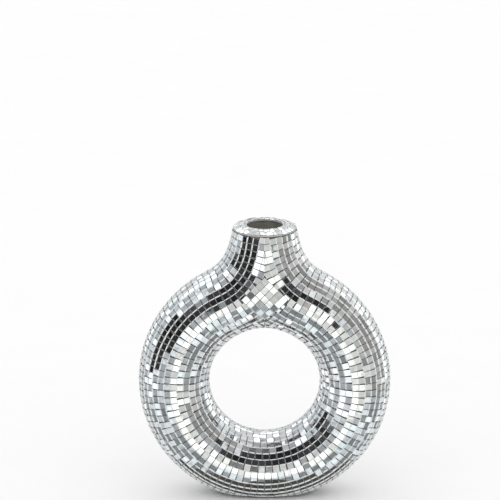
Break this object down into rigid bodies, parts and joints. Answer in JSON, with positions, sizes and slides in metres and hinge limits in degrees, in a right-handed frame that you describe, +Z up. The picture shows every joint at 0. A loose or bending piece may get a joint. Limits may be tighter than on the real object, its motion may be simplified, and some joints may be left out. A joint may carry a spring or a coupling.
{
  "type": "ring vase with mirror mosaic",
  "caption": "Upright ring-shaped flower vase with a short open neck, clad all over in small square mirror tiles.",
  "frame": {"origin": "on the ground, under the middle of the foot pad's flat underside", "axes": "+Z up along the neck, +X to the right across the ring, -Y towards the viewer of the pictured face"},
  "size_m": [0.2, 0.056, 0.2235],
  "materials": {
    "ceramic": "satin",
    "mirror_tiles": "polished",
    "rim_mirror": "polished",
    "pad": "matte"
  },
  "bodies": {
    "root": {"ceramic_body": "ceramic", "mirror_strip_outer_left": "mirror_tiles", "mirror_strip_outer_right": "mirror_tiles", "mirror_strip_front_1_left": "mirror_tiles", "mirror_strip_front_1_right": "mirror_tiles", "mirror_strip_front_2": "mirror_tiles", "mirror_strip_front_3": "mirror_tiles", "mirror_strip_front_4": "mirror_tiles", "mirror_strip_front_5": "mirror_tiles", "mirror_strip_front_6": "mirror_tiles", "mirror_strip_front_7": "mirror_tiles", "mirror_strip_front_8": "mirror_tiles", "mirror_strip_back_1_left": "mirror_tiles", "mirror_strip_back_1_right": "mirror_tiles", "mirror_strip_back_2": "mirror_tiles", "mirror_strip_back_3": "mirror_tiles", "mirror_strip_back_4": "mirror_tiles", "mirror_strip_back_5": "mirror_tiles", "mirror_strip_back_6": "mirror_tiles", "mirror_strip_back_7": "mirror_tiles", "mirror_strip_back_8": "mirror_tiles", "rim_mosaic": "rim_mirror", "foot_pad": "pad"}
  },
  "joints": []
}
